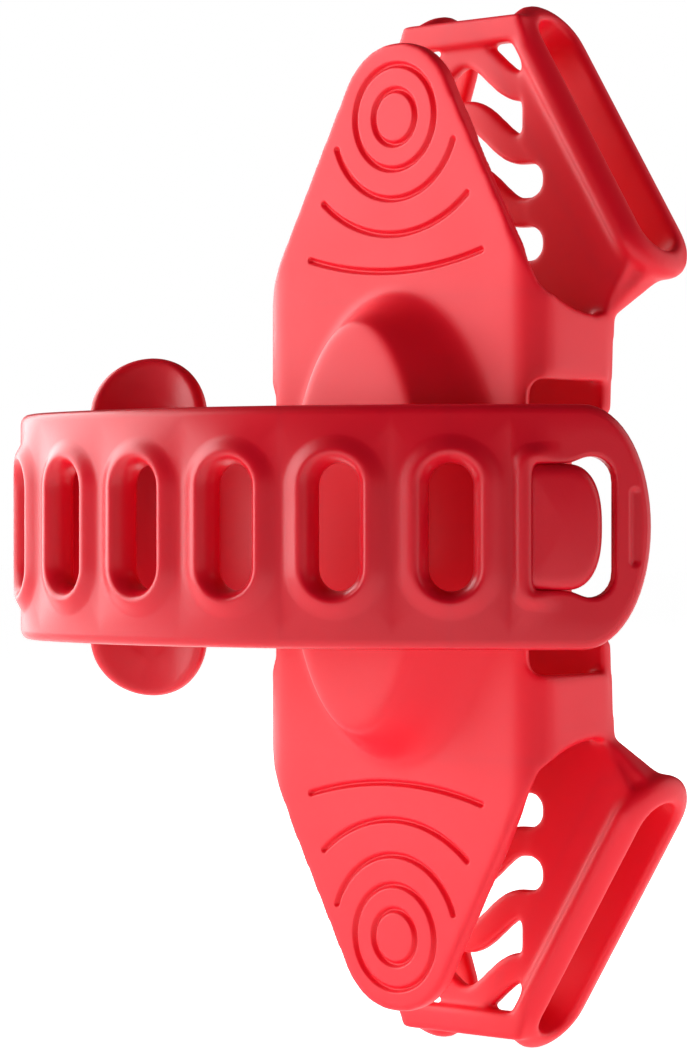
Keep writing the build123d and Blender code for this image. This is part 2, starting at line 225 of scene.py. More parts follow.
def flat_sheet(loops, low_y, high_y, spacing=4.0):
    """Flat plate between two heights of Y."""
    def place(points, level):
        y = np.full(len(points), high_y if level else low_y)
        return np.column_stack([points[:, 0], y, points[:, 1]])
    return sheet(loops, spacing, place)


def tube_faces(rings, count, closed):
    """Quads between successive rings of count points each."""
    faces = []
    for ring in range(rings if closed else rings - 1):
        here, there = ring * count, (ring + 1) % rings * count
        for i in range(count):
            after = (i + 1) % count
            faces.append((here + i, here + after, there + after, there + i))
    return faces


def mirrored(solid, x=1, z=1):
    """Copy of a solid, mirrored in X, in Z or in both."""
    verts, faces = solid
    verts = verts * np.array([x, 1, z])
    if x * z < 0:
        faces = [tuple(reversed(f)) for f in faces]
    return verts, faces


def joined(solids):
    """Several solids as one list of points and one of faces."""
    verts, faces, first = [], [], 0
    for points, polygons in solids:
        verts.append(np.asarray(points, float))
        faces += [tuple(i + first for i in f) for f in polygons]
        first += len(points)
    return np.vstack(verts), faces


def mesh_from(name, verts, faces):
    """New mesh with these points and faces."""
    mesh = bpy.data.meshes.new(name)
    mesh.from_pydata([tuple(v) for v in verts], [], faces)
    return mesh


def cleaned(verts, faces, merge=1e-4):
    """Points merged and faces turned outward."""
    mesh = mesh_from("scratch", verts, faces)
    bm = bmesh.new()
    bm.from_mesh(mesh)
    bmesh.ops.remove_doubles(bm, verts=bm.verts, dist=merge)
    bmesh.ops.recalc_face_normals(bm, faces=bm.faces)
    verts = np.array([v.co[:] for v in bm.verts])
    faces = [tuple(v.index for v in f.verts) for f in bm.faces]
    bm.free()
    bpy.data.meshes.remove(mesh)
    return verts, faces


def fused(solids, voxel):
    """Overlapping solids fused into one closed skin of small quads."""
    mesh = mesh_from("fusing", *joined(solids))
    obj = bpy.data.objects.new("fusing", mesh)
    bpy.context.scene.collection.objects.link(obj)
    remesh = obj.modifiers.new("fuse", "REMESH")
    remesh.mode = "VOXEL"
    remesh.voxel_size = voxel
    remesh.adaptivity = 0
    result = obj.evaluated_get(bpy.context.evaluated_depsgraph_get()).to_mesh()
    verts = np.empty(len(result.vertices) * 3)
    result.vertices.foreach_get("co", verts)
    faces = [tuple(p.vertices) for p in result.polygons]
    bpy.data.objects.remove(obj)
    bpy.data.meshes.remove(mesh)
    return verts.reshape(-1, 3), faces


def edge_pairs(faces):
    """Both ends of every edge of the faces, each edge once."""
    pairs = {tuple(sorted((a, b))) for f in faces for a, b in zip(f, f[1:] + f[:1])}
    return np.array(list(pairs))


def relaxed(verts, faces, rounds):
    """Skin eased towards its neighbours' mean, which rounds its edges and fills its corners."""
    pairs = edge_pairs(faces)
    a, b = pairs[:, 0], pairs[:, 1]
    count = np.bincount(a, minlength=len(verts)) + np.bincount(b, minlength=len(verts))
    for _ in range(rounds):
        sums = [np.bincount(a, verts[b, k], len(verts)) + np.bincount(b, verts[a, k], len(verts))
                for k in range(3)]
        verts = verts + 0.5 * (np.column_stack(sums) / count[:, None] - verts)
    return verts


def vertex_normals(verts, faces):
    """Area-weighted normal at each point."""
    mesh = mesh_from("scratch", verts, faces)
    normals = np.empty(len(verts) * 3)
    mesh.vertex_normals.foreach_get("vector", normals)
    bpy.data.meshes.remove(mesh)
    return normals.reshape(-1, 3)


def border_sides(faces):
    """Directed edges that belong to one face only."""
    sides = {(a, b) for f in faces for a, b in zip(f, f[1:] + f[:1])}
    return [(a, b) for a, b in sides if (b, a) not in sides]


def piece(name, verts, faces, normals, material):
    """Object made of some of a skin's faces, with the skin's normals, closed a little inside its cuts."""
    used = np.unique(np.concatenate([np.array(f) for f in faces]))
    renumber = {old: new for new, old in enumerate(used)}
    faces = [tuple(renumber[i] for i in f) for f in faces]
    verts, normals = verts[used], normals[used]
    border = border_sides(faces)
    if border:
        edge = sorted({i for side in border for i in side})
        sunk = {old: len(verts) + new for new, old in enumerate(edge)}
        verts = np.vstack([verts, verts[edge] - CAP_DEPTH * normals[edge]])
        normals = np.vstack([normals, normals[edge]])
        faces = faces + [(b, a, sunk[a], sunk[b]) for a, b in border]
    mesh = mesh_from(name, verts * MM, faces)
    if border:
        bm = bmesh.new()
        bm.from_mesh(mesh)
        bmesh.ops.holes_fill(bm, edges=[e for e in bm.edges if e.is_boundary], sides=0)
        bm.to_mesh(mesh)
        bm.free()
    mesh.polygons.foreach_set("use_smooth", np.ones(len(mesh.polygons), bool))
    mesh.normals_split_custom_set_from_vertices([tuple(n) for n in normals])
    mesh.materials.append(material)
    obj = bpy.data.objects.new(name, mesh)
    bpy.context.scene.collection.objects.link(obj)
    return obj


# ---- holder ----
def wrap_section(points, level):
    """Maps width round the section: flat back, round long edge, straight side wall."""
    width, z = np.abs(points[:, 0]), points[:, 1]
    flat = HALF_X - EDGE_R
    turn = np.clip((width - flat) / EDGE_R, 0, math.pi / 2)
    past = np.clip(width - flat - EDGE_LENGTH, 0, None)
    inward = WALL * level
    x = np.minimum(width, flat) + (EDGE_R - inward) * np.sin(turn)
    y = BACK_Y + EDGE_R - (EDGE_R - inward) * np.cos(turn) + past
    return np.column_stack([np.sign(points[:, 0]) * x, y, z])


def taper_x(z):
    """Half width of a tab's straight taper at height z."""
    return (TAB_TIP_R - (z - TAB_TIP_Z) * math.sin(TAB_LEAN)) / math.cos(TAB_LEAN)


def leaf():
    """Back plate, side walls and both tabs as one bent sheet, notched for the tunnel."""
    wall_end = HALF_X - EDGE_R + EDGE_LENGTH + REST_Y - BACK_Y - EDGE_R + 0.4
    shoulder = catmull_rom([(taper_x(30.2), 30.2), (taper_x(29.0) + 0.4, 29.0), (wall_end - 8.2, 27.2),
                            (wall_end - 4.6, 26.3), (wall_end - 2.0, 26.1), (wall_end, 26.6)])
    tip = arc((0, TAB_TIP_Z), TAB_TIP_R, math.pi / 2, TAB_LEAN, 16)
    quarter = tip + shoulder
    notch = HALF_X - EDGE_R + 1.9
    corner = 2.0
    side = arc((notch + corner, TUNNEL_HALF_Z - corner), corner, math.pi / 2, math.pi, 6)
    quarter += [(wall_end, TUNNEL_HALF_Z)] + [tuple(p) for p in side] + [(notch, 0.0)]
    return sheet([mirrored_outline(quarter)], 1.3, wrap_section)


def lattice_window():
    """Outline of the opening that the wave ribs cross."""
    half = [(LATTICE_HIGH, RIM_LOW_Z), (LATTICE_HIGH, LATTICE_STEP_Z + 0.8),
            (LATTICE_LOW, LATTICE_STEP_Z - 0.8)]
    opening = (RIB_PITCH - RIB_THICK) / 2 + 0.1
    for count in (1, 0):
        middle = RIB_FIRST_Z + (count + 0.5) * RIB_PITCH
        for a in np.linspace(math.pi / 2, -math.pi / 2, 13):
            half.append((LATTICE_LOW + LATTICE_BULGE * math.cos(a), middle + opening * math.sin(a)))
    half.append((LATTICE_LOW, WING_ROOT_Z))
    return half + [(-x, z) for x, z in reversed(half)]


def front_sheet():
    """Phone plate with its waist, and both wings with the openings for the ribs."""
    inward = 0.9
    mouth_low = np.array([LOOP_X, LOOP_Z]) + 14.0 * ALONG[[0, 2]] - inward * ACROSS[[0, 2]]
    mouth_high = np.array([LOOP_X, LOOP_Z]) - 14.0 * ALONG[[0, 2]] - inward * ACROSS[[0, 2]]
    quarter = [(0, RIM_TOP_Z), (9.4, RIM_TOP_Z), mouth_high, mouth_low]
    quarter += catmull_rom([(26.6, 34.4), (26.2, 31.8), (24.6, 29.4), (23.3, 27.6), (22.9, 25.0)], 4)
    quarter += [(22.3, 14.5), (21.3, 13.0), (17.0, 10.5), (16.2, 8.5), (16.2, 0)]
    upper = lattice_window()
    lower = [(x, -z) for x, z in reversed(upper)]
    return flat_sheet([mirrored_outline(quarter), upper, lower], REST_Y, FRONT_Y)


def wave_rib(base_z):
    """One wave rib: a hump in the middle and a turn out to each side."""
    half = LATTICE_LOW + 0.8 if base_z < LATTICE_STEP_Z + 1 else LATTICE_HIGH + 0.8
    x = np.linspace(-half, half, 61)
    inner = np.clip(np.abs(x), 0, RIB_HALF_WAVE)
    z = base_z + RIB_RISE * (1 + np.cos(np.pi * inner / RIB_HALF_WAVE)) / 2
    slope = np.gradient(z, x)
    size = np.hypot(1, slope)
    out = np.column_stack([-slope / size, 1 / size]) * RIB_THICK / 2
    line = np.column_stack([x, z])
    loop = list(line - out) + list((line + out)[::-1])
    return flat_sheet([[tuple(p) for p in loop]], REST_Y + 0.05, FRONT_Y - 0.05, 8.0)


def end_rim():
    """Bar along the end of a wing, between its loops."""
    loop = [(-11.0, RIM_LOW_Z), (11.0, RIM_LOW_Z), (9.6, RIM_TOP_Z), (-9.6, RIM_TOP_Z)]
    return flat_sheet([loop], REST_Y - 1.0, FRONT_Y, 5.0)


def oblong(samples=120):
    """Points and outward directions round a loop's inner oblong, in its along and Y directions."""
    straight = LOOP_LENGTH / 2 - LOOP_WALL - LOOP_GAP / 2
    radius = LOOP_GAP / 2
    perimeter = 4 * straight + 2 * math.pi * radius
    points = []
    for k in range(samples):
        s = k / samples * perimeter
        if s < 2 * straight:
            points.append((-straight + s, -radius, 0, -1))
            continue
        s -= 2 * straight
        if s < math.pi * radius:
            a = s / radius - math.pi / 2
            points.append((straight + radius * math.cos(a), radius * math.sin(a), math.cos(a), math.sin(a)))
            continue
        s -= math.pi * radius
        if s < 2 * straight:
            points.append((straight - s, radius, 0, 1))
            continue
        a = (s - 2 * straight) / radius + math.pi / 2
        points.append((-straight + radius * math.cos(a), radius * math.sin(a), math.cos(a), math.sin(a)))
    return points


def corner_loop():
    """Upper right loop: a band with a rolled mouth, deepest in the middle of its sides."""
    middle = np.array([LOOP_X, FRONT_Y + LOOP_GAP / 2, LOOP_Z])
    verts = []
    for along, up, out_along, out_up in oblong():
        depth = 8.3 - 3.0 * min(1.0, abs(along) / 19.0) ** 2
        profile = [(0.1, 0.0), (-0.1, 0.7), (0.1, 1.5), (0.6, 2.5), (1.4, 3.1), (2.3, 3.05), (3.2, 2.45),
                   (4.2, 1.95), (depth - 0.5, 1.8), (depth, 1.3), (depth, 0.5), (depth - 0.4, 0.0),
                   (3.0, 0.0), (1.0, 0.0)]
        near = max(0.0, -out_up)
        limit = depth + near * (BEAD_DEPTH - depth)
        for deep, out in profile:
            verts.append(middle + (along + out * out_along) * ALONG + (up + out * out_up) * UP
                         - min(deep, limit) * ACROSS)
    count = len(profile)
    return np.array(verts), tube_faces(len(verts) // count, count, True)


def gusset():
    """Flank between the loop's outer end and the plate's corner."""
    points = [(21.2, REST_Y + 0.1, 25.8), (21.2, FRONT_Y, 25.8), (22.9, REST_Y + 0.1, 26.0),
              (22.9, FRONT_Y, 26.0), (27.2, REST_Y + 1.6, 30.4), (27.4, FRONT_Y + 3.6, 30.6),
              (28.0, FRONT_Y + 0.4, 31.6), (28.0, FRONT_Y + 4.2, 32.0), (23.6, REST_Y + 0.2, 33.5),
              (23.2, FRONT_Y + 2.2, 31.0)]
    bm = bmesh.new()
    for p in points:
        bm.verts.new(p)
    bmesh.ops.convex_hull(bm, input=bm.verts)
    bm.verts.index_update()
    verts = np.array([v.co[:] for v in bm.verts])
    faces = [tuple(v.index for v in f.verts) for f in bm.faces]
    bm.free()
    return verts, faces


def saddle():
    """Raised pad that sits on the bar, with flanks that spread into the back plate."""
    verts, count = [], 96
    rise = BACK_Y
    profile = [(0.0, 0.0), (0.35, 0.0), (0.8, 0.0), (0.93, 0.05)]
    for share in np.linspace(0.0, 1.0, 26):
        eased = share**0.75
        profile.append((1.0 + share, 0.16 + (rise - 0.16) * eased * eased * (3 - 2 * eased)))
    for size, fall in profile:
        spread = max(0.0, size - 1.0)
        half_x = SADDLE_TOP[0] * min(size, 1.0) + spread * (SADDLE_FOOT[0] - SADDLE_TOP[0])
        half_z = SADDLE_TOP[1] * min(size, 1.0) + spread * (SADDLE_FOOT[1] - SADDLE_TOP[1])
        for k in range(count):
            a = 2 * math.pi * k / count
            verts.append((half_x * math.cos(a), fall, half_z * math.sin(a)))
    rings = len(profile)
    for k in range(count):
        a = 2 * math.pi * k / count
        verts.append((SADDLE_FOOT[0] * math.cos(a), rise + 1.0, SADDLE_FOOT[1] * math.sin(a)))
    faces = tube_faces(rings + 1, count, False)
    faces.append(tuple(range(rings * count, (rings + 1) * count)))
    return cleaned(np.array(verts), faces)


def groove_distance(x, z):
    """Distance from each point to the nearest engraved ring or arc of the upper tab."""
    from_tip = np.hypot(x, z - TAB_TIP_Z)
    best = np.minimum(np.abs(from_tip - 3.4), np.abs(from_tip - 6.5))
    for centre_z, radius, spread in ((TAB_TIP_Z, 10.2, 70), (54.4, 18.0, 41), (82.8, 51.0, 16)):
        limit = math.radians(spread)
        angle = np.arctan2(x, centre_z - z)
        held = np.clip(angle, -limit, limit)
        near_x, near_z = radius * np.sin(held), centre_z - radius * np.cos(held)
        best = np.minimum(best, np.hypot(x - near_x, z - near_z))
    return best


def split_near(verts, faces, near):
    """Skin whose edges are cut in three wherever both of their ends are near a mark."""
    mesh = mesh_from("scratch", verts, faces)
    bm = bmesh.new()
    bm.from_mesh(mesh)
    bpy.data.meshes.remove(mesh)
    edges = [e for e in bm.edges if near[e.verts[0].index] and near[e.verts[1].index]]
    bmesh.ops.subdivide_edges(bm, edges=edges, cuts=2, use_grid_fill=True)
    bm.verts.index_update()
    verts = np.array([v.co[:] for v in bm.verts])
    faces = [tuple(v.index for v in f.verts) for f in bm.faces]
    bm.free()
    return verts, faces


def on_back(verts):
    """True for each point on the back of the back plate and the tabs."""
    return verts[:, 1] < BACK_Y + 0.6


def engraved(verts, faces):
    """Tabs' rings and arcs pressed into the skin."""
    near = groove_distance(verts[:, 0], np.abs(verts[:, 2])) < GROOVE_REACH + 0.35
    verts, faces = split_near(verts, faces, near & on_back(verts))
    share = np.clip(groove_distance(verts[:, 0], np.abs(verts[:, 2])) / GROOVE_REACH, 0, 1)
    verts[:, 1] += np.where(on_back(verts), GROOVE_DEPTH * 0.5 * (1 + np.cos(np.pi * share)), 0)
    return verts, faces


def holder_skin():
    """The whole holder moulding as one skin."""
    voxel = 0.3
    solids = [leaf(), front_sheet(), saddle()]
    for z in (1, -1):
        solids.append(mirrored(end_rim(), 1, z))
        for count in range(4):
            solids.append(mirrored(wave_rib(RIB_FIRST_Z + count * RIB_PITCH), 1, z))
        for x in (1, -1):
            solids += [mirrored(corner_loop(), x, z), mirrored(gusset(), x, z)]
    verts, faces = fused(solids, voxel)
    rounds = 12
    verts = relaxed(verts, faces, rounds)
    return engraved(verts, faces)


# ---- strap ----
def turn_point(centre, radius, heading):
    """Point of a left-hand turn where the strap runs at this heading, in degrees."""
    angle = math.radians(heading)
    return centre[0] + radius * math.sin(angle), centre[1] - radius * math.cos(angle)


def next_centre(centre, radius, heading, next_radius):
    """Centre of the turn that follows on smoothly at this heading."""
    x, y = turn_point(centre, radius - next_radius, heading)
    return x, y


BEND_CENTRE = (BEND_X, STRAP_RUN_Y - BEND_R)
KNEE_HEADING = BEND_TURN - 180
SWEEP_HEADING = KNEE_HEADING + KNEE_TURN
KNEE_CENTRE = next_centre(BEND_CENTRE, BEND_R, KNEE_HEADING, KNEE_R)
SWEEP_CENTRE = next_centre(KNEE_CENTRE, KNEE_R, SWEEP_HEADING, SWEEP_R)
KNEE_START = math.radians(BEND_TURN) * BEND_R
SWEEP_START = KNEE_START + math.radians(KNEE_TURN) * KNEE_R
LINK_START = KNEE_START + FIRST_SLOT - SLOT_PITCH / 2
LINKS = 6


def strap_frame(s):
    """Outer face point and outward direction, s along the strap from where its bend begins."""
    if s < 0:
        return (BEND_X - s, STRAP_RUN_Y), (0.0, 1.0)
    if s < KNEE_START:
        centre, radius, heading = BEND_CENTRE, BEND_R, -180 + math.degrees(s / BEND_R)
    elif s < SWEEP_START:
        centre, radius, heading = KNEE_CENTRE, KNEE_R, KNEE_HEADING + math.degrees((s - KNEE_START) / KNEE_R)
    else:
        centre, radius = SWEEP_CENTRE, SWEEP_R
        heading = SWEEP_HEADING + math.degrees((s - SWEEP_START) / SWEEP_R)
    angle = math.radians(heading)
    return turn_point(centre, radius, heading), (math.sin(angle), -math.cos(angle))


def sweep_s(heading):
    """Distance along the strap to a heading on its long sweep."""
    return SWEEP_START + math.radians(heading - SWEEP_HEADING) * SWEEP_R


def along_strap(points):
    """Maps points (s, z, lift) onto the strap's path."""
    verts = []
    for s, z, lift in points:
        (x, y), (nx, ny) = strap_frame(s)
        verts.append((x + lift * nx, y + lift * ny, z))
    return np.array(verts)


CELL_STRAIGHT = 5
CELL_ARC = 7
FLAT_HALF_Z = STRAP_HALF_Z - EDGE_ROUND
LIP_PROFILE = [                  # half width and height of a slot's funnel, from the foot of its lip inward
    (6.7, 0.02), (6.2, 0.15), (5.7, 0.4), (5.2, 0.66), (4.8, 0.85), (4.5, 0.95), (4.2, 0.97), (3.95, 0.88),
    (3.7, 0.65), (3.4, 0.25), (3.15, -0.2), (2.92, -0.8), (2.8, -1.3), (2.75, -2.0), (2.8, -2.45),
    (3.1, -2.7)]


def cell_rays():
    """Quarter of a slot's outline as (base point, direction, cell edge point) rays."""
    half = SLOT_PITCH / 2
    rays = []
    for z in np.linspace(0, SLOT_STRAIGHT, CELL_STRAIGHT, endpoint=False):
        rays.append(((0.0, z), (1.0, 0.0), (half, z)))
    corner = math.atan2(FLAT_HALF_Z - SLOT_STRAIGHT, half)
    angles = list(np.linspace(0, corner, CELL_ARC, endpoint=False))
    angles += list(np.linspace(corner, math.pi / 2, CELL_ARC))
    for a in angles:
        c, s = math.cos(a), math.sin(a)
        if a < corner:
            edge = (half, SLOT_STRAIGHT + half * math.tan(a))
        elif a > math.pi / 2 - 1e-6:
            edge = (0.0, FLAT_HALF_Z)
        else:
            edge = ((FLAT_HALF_Z - SLOT_STRAIGHT) / math.tan(a), FLAT_HALF_Z)
        rays.append(((0.0, SLOT_STRAIGHT), (c, s), edge))
    return rays


def full_rays():
    """All rays round a slot, anticlockwise."""
    quarter = cell_rays()
    rays = list(quarter)
    rays += [((-b[0], b[1]), (-d[0], d[1]), (-e[0], e[1])) for b, d, e in reversed(quarter[:-1])]
    rays += [((b[0], -b[1]), (d[0], -d[1]), (e[0], -e[1]))
             for b, d, e in [((-b[0], b[1]), (-d[0], d[1]), (-e[0], e[1])) for b, d, e in quarter[1:]]]
    rays += [((b[0], -b[1]), (d[0], -d[1]), (e[0], -e[1])) for b, d, e in reversed(quarter[1:-1])]
    return rays


def edge_strip(line):
    """Rounded long edge of the strap along (s, z) points, from its outer to its inner face."""
    rows = []
    turns = np.linspace(0, math.pi, 9)
    drop = STRAP_THICK - 2 * EDGE_ROUND
    for s, z in line:
        side = 1 if z > 0 else -1
        row = []
        for a in turns:
            lift = -EDGE_ROUND + EDGE_ROUND * math.cos(a) - (drop if a > math.pi / 2 else 0)
            row.append((s, z + side * EDGE_ROUND * math.sin(a), lift))
        rows.append(row)
    points = [p for row in rows for p in row]
    count = len(turns)
    faces = [(r * count + i, r * count + i + 1, (r + 1) * count + i + 1, (r + 1) * count + i)
             for r in range(len(rows) - 1) for i in range(count - 1)]
    return points, faces


def strap_cell(middle):
    """Stretch of strap round one slot: raised lip, slot wall, inner face and long edges."""
    rays = full_rays()
    rings = []
    rings.append([(middle + e[0], e[1], 0.0) for b, d, e in rays])
    for width, height in LIP_PROFILE:
        ring = []
        for base, direction, edge in rays:
            reach = SLOT_R + (width - SLOT_R) * (1 - 0.08 * direction[1] ** 2)
            ring.append((middle + base[0] + reach * direction[0], base[1] + reach * direction[1], height))
        rings.append(ring)
    rings.append([(middle + e[0], e[1], -STRAP_THICK) for b, d, e in rays])
    points = [p for ring in rings for p in ring]
    faces = tube_faces(len(rings), len(rays), False)
    solids = [(points, faces)]
    for side in (1, -1):
        ends = [e[0] for b, d, e in rays if abs(abs(e[1]) - FLAT_HALF_Z) < 1e-6]
        line = sorted({(round(middle + s, 6), side * FLAT_HALF_Z) for s in ends})
        solids.append(edge_strip(line))
    return joined(solids)


def edge_heights():
    """Heights z where a cell meets the next one."""
    half = SLOT_PITCH / 2
    return sorted({round(e[1], 6) for b, d, e in full_rays() if abs(e[0] - half) < 1e-6})


def plain_strap(start, end, step):
    """Stretch of strap without slots."""
    heights = edge_heights()
    stations = np.linspace(start, end, max(2, int((end - start) / step) + 1))
    solids = []
    for lift in (0.0, -STRAP_THICK):
        points = [(s, z, lift) for s in stations for z in heights]
        count = len(heights)
        faces = [(r * count + i, r * count + i + 1, (r + 1) * count + i + 1, (r + 1) * count + i)
                 for r in range(len(stations) - 1) for i in range(count - 1)]
        solids.append((points, faces))
    for side in (1, -1):
        solids.append(edge_strip([(s, side * FLAT_HALF_Z) for s in stations]))
    return joined(solids)


RING_START = LINK_START + LINKS * SLOT_PITCH
HOLE_START = sweep_s(44.2)
HOLE_END = sweep_s(53.4)
STRAP_END = sweep_s(57.4)
RING_TIP = 8.6
DIMPLE_S = KNEE_START + 98.4     # middle of the dimple near the strap's end
DIMPLE_REACH = 0.95
DIMPLE_DEPTH = 0.4
LIP_OVERHANG = 0.8               # how far the ring's lip reaches over the tongue


def hole_gap(ds, z):
    """Distance outside the ring's hole, whose far end is wider and rounder than its near end."""
    half_s, half_z = (HOLE_END - HOLE_START) / 2, 7.95 + 0.45 * math.tanh(ds - 0.8)
    corner = 3.0 if ds > 0 else 1.6
    over_s, over_z = abs(ds) - half_s + corner, abs(z) - half_z + corner
    return math.hypot(max(over_s, 0), max(over_z, 0)) + min(max(over_s, over_z), 0) - corner


def ring_rays():
    """Hole edge and outer edge points of the ring end, round the hole's middle."""
    middle = (HOLE_START + HOLE_END) / 2
    straight = STRAP_END - RING_TIP
    outer = [(RING_START, z) for z in reversed(edge_heights())]
    outer += [(s, -FLAT_HALF_Z) for s in np.linspace(RING_START, straight, 7)[1:]]
    reach = RING_TIP - EDGE_ROUND
    outer += [(straight + reach * math.cos(a), FLAT_HALF_Z * math.sin(a))
              for a in np.linspace(-math.pi / 2, math.pi / 2, 33)[1:]]
    outer += [(s, FLAT_HALF_Z) for s in np.linspace(straight, RING_START, 7)[1:-1]]
    rays = []
    for s, z in outer:
        low, high = 0.0, 1.0
        for _ in range(30):
            share = (low + high) / 2
            if hole_gap((s - middle) * share, z * share) < 0:
                low = share
            else:
                high = share
        rays.append(((middle + (s - middle) * low, z * low), (s, z)))
    return rays


RING_LIP_PROFILE = [             # share of the lip's width and height, from its foot to the hole's edge
    (0.97, 0.0), (0.88, 0.12), (0.76, 0.38), (0.62, 0.74), (0.5, 0.94), (0.38, 1.0), (0.24, 0.92),
    (0.12, 0.7), (0.04, 0.4), (0.0, 0.1)]


def ring_end():
    """End of the strap with the hole that hooks over the tongue."""
    rays = ring_rays()
    straight = STRAP_END - RING_TIP
    rings = [[(o[0], o[1], 0.0) for h, o in rays]]
    for share, height in RING_LIP_PROFILE:
        ring = []
        for hole, out in rays:
            near = max(0.0, min(1.0, (HOLE_START + 4.2 - hole[0]) / 3.2))
            near = near * near * (3 - 2 * near)
            gap = math.hypot(out[0] - hole[0], out[1] - hole[1])
            reach = min(0.9 * gap, 3.0) * share
            lift = height * near - (0.3 * (1 - share / 0.12) ** 2 * (1 - near) if share < 0.12 else 0.0)
            over = LIP_OVERHANG * max(0.0, min(1.0, HOLE_START + 1.0 - hole[0])) * (1 - share) ** 2
            ring.append((hole[0] + (out[0] - hole[0]) / gap * reach + over,
                         hole[1] + (out[1] - hole[1]) / gap * reach, lift))
        rings.append(ring)
    for lift in (-0.7, -STRAP_THICK + 0.4):
        rings.append([(h[0], h[1], lift) for h, o in rays])
    rings.append([(h[0] + 0.1 * (o[0] - h[0]), h[1] + 0.1 * (o[1] - h[1]), -STRAP_THICK) for h, o in rays])
    rings.append([(o[0], o[1], -STRAP_THICK) for h, o in rays])
    body = ([p for ring in rings for p in ring], tube_faces(len(rings), len(rays), False))
    turns = np.linspace(0, math.pi, 9)
    drop = STRAP_THICK - 2 * EDGE_ROUND
    line = [o for h, o in rays if o[0] > RING_START + 1e-6 or abs(abs(o[1]) - FLAT_HALF_Z) < 1e-6]
    first = next(i for i, o in enumerate(line) if o[1] < 0 and o[0] <= RING_START + 1e-6)
    line = line[first:] + line[:first]
    rows = []
    for s, z in line:
        if s > straight:
            a = math.atan2(z / FLAT_HALF_Z, (s - straight) / (RING_TIP - EDGE_ROUND))
            away = np.array([math.cos(a) / (RING_TIP - EDGE_ROUND), math.sin(a) / FLAT_HALF_Z])
            away /= np.linalg.norm(away)
        else:
            away = np.array([0.0, 1.0 if z > 0 else -1.0])
        row = []
        for a in turns:
            lift = -EDGE_ROUND + EDGE_ROUND * math.cos(a) - (drop if a > math.pi / 2 else 0)
            out = EDGE_ROUND * math.sin(a)
            row.append((s + away[0] * out, z + away[1] * out, lift))
        rows.append(row)
    count = len(turns)
    faces = [(r * count + i, r * count + i + 1, (r + 1) * count + i + 1, (r + 1) * count + i)
             for r in range(len(rows) - 1) for i in range(count - 1)]
    return joined([body, ([p for row in rows for p in row], faces)])


def dimple_depth(points):
    """Depth of the finger dimple between the ring's hole and the strap's end."""
    past = np.clip(np.abs(points[:, 1]) - 4.0, 0, None)
    share = np.clip(np.hypot(points[:, 0] - DIMPLE_S, past) / DIMPLE_REACH, 0, 1)
    return np.where(points[:, 2] > -0.4, DIMPLE_DEPTH * 0.5 * (1 + np.cos(np.pi * share)), 0)


def strap_skin():
    """The strap from the tunnel's far end round to its ring end."""
    cells = [strap_cell(LINK_START + (count + 0.5) * SLOT_PITCH) for count in range(LINKS)]
    run_start = BEND_X - run_high[0]
    run = [plain_strap(run_start, 0.0, 4.0), plain_strap(0.0, LINK_START, 0.9)]
    points, faces = joined(run + cells + [ring_end()])
    verts, faces = cleaned(points, faces, 1e-3)
    for reach, half_z in ((2.6, 8.0), (2.2, 6.6)):
        near = (np.abs(verts[:, 0] - DIMPLE_S) < reach) & (np.abs(verts[:, 1]) < half_z)
        verts, faces = split_near(verts, faces, near & (verts[:, 2] > -0.4))
    verts[:, 2] -= dimple_depth(verts)
    stations = verts[:, 0].copy()
    return along_strap(verts), faces, stations


def pillow(outline, thick, middle_lift, crown=0.0):
    """Closed pad with rounded edges: outline points in (s, z) round a centre."""
    outline = np.array(outline)
    centre = outline.mean(axis=0)
    radius = thick / 2
    profile = [(0.0, thick / 2 + crown)]
    for share in (0.3, 0.55, 0.75):
        profile.append((share, thick / 2 + crown * (1 - share**2)))
    points, rings = [], 0
    size = np.linalg.norm(outline - centre, axis=1).mean()
    for a in np.linspace(0, math.pi, 11):
        share = 1 - radius * (1 - math.sin(a)) / size
        profile.append((share, radius * math.cos(a) + crown * (1 - share**2) * math.cos(a)))
    for share in (0.75, 0.55, 0.3, 0.0):
        profile.append((share, -thick / 2))
    for share, lift in profile:
        for p in outline:
            s, z = centre + (p - centre) * share
            points.append((s, z, middle_lift + lift))
        rings += 1
    return points, tube_faces(rings, len(outline), False)


def superellipse(centre, half_s, half_z, power, count=64):
    """Points round an oval that grows squarer with its power."""
    points = []
    for k in range(count):
        a = 2 * math.pi * k / count
        c, s = math.cos(a), math.sin(a)
        points.append((centre[0] + half_s * math.copysign(abs(c) ** (2 / power), c),
                       centre[1] + half_z * math.copysign(abs(s) ** (2 / power), s)))
    return points


def tongue():
    """Pad that lies in the ring's hole."""
    start, middle, end, half_z = HOLE_START + 0.1, HOLE_START + 4.6, HOLE_START + 9.1, 7.5
    outline = [p for p in superellipse((middle, 0.0), end - middle, half_z, 2.5) if p[0] >= middle - 1e-6]
    outline.sort(key=lambda p: p[1])
    outline += [(s, half_z) for s in np.linspace(middle, start + 0.8, 8)[1:]]
    outline += [(start + 0.2, half_z - 0.25)]
    outline += [(start, z) for z in np.linspace(half_z - 0.9, 0.9 - half_z, 15)]
    outline += [(start + 0.2, 0.25 - half_z)]
    outline += [(s, -half_z) for s in np.linspace(start + 0.8, middle, 8)[:-1]]
    points, faces = pillow(outline, 2.4, -0.6, 0.35)
    verts, faces = cleaned(points, faces, 2e-3)
    return along_strap(verts), faces


def ear():
    """Upper ear: a thin half-round lug on the strap's edge."""
    s_middle = math.radians(29.0) * BEND_R - 0.35
    half, rise = 9.4, 8.0
    points = [(s_middle + half * math.cos(a), STRAP_HALF_Z + rise * math.sin(a))
              for a in np.linspace(0, math.pi, 41)]
    points += [(s_middle - half + 2 * half * k / 12, STRAP_HALF_Z - 1.6) for k in range(13)]
    points, faces = pillow(points, 2.0, -1.3)
    verts, faces = cleaned(points, faces, 2e-3)
    return along_strap(verts), faces


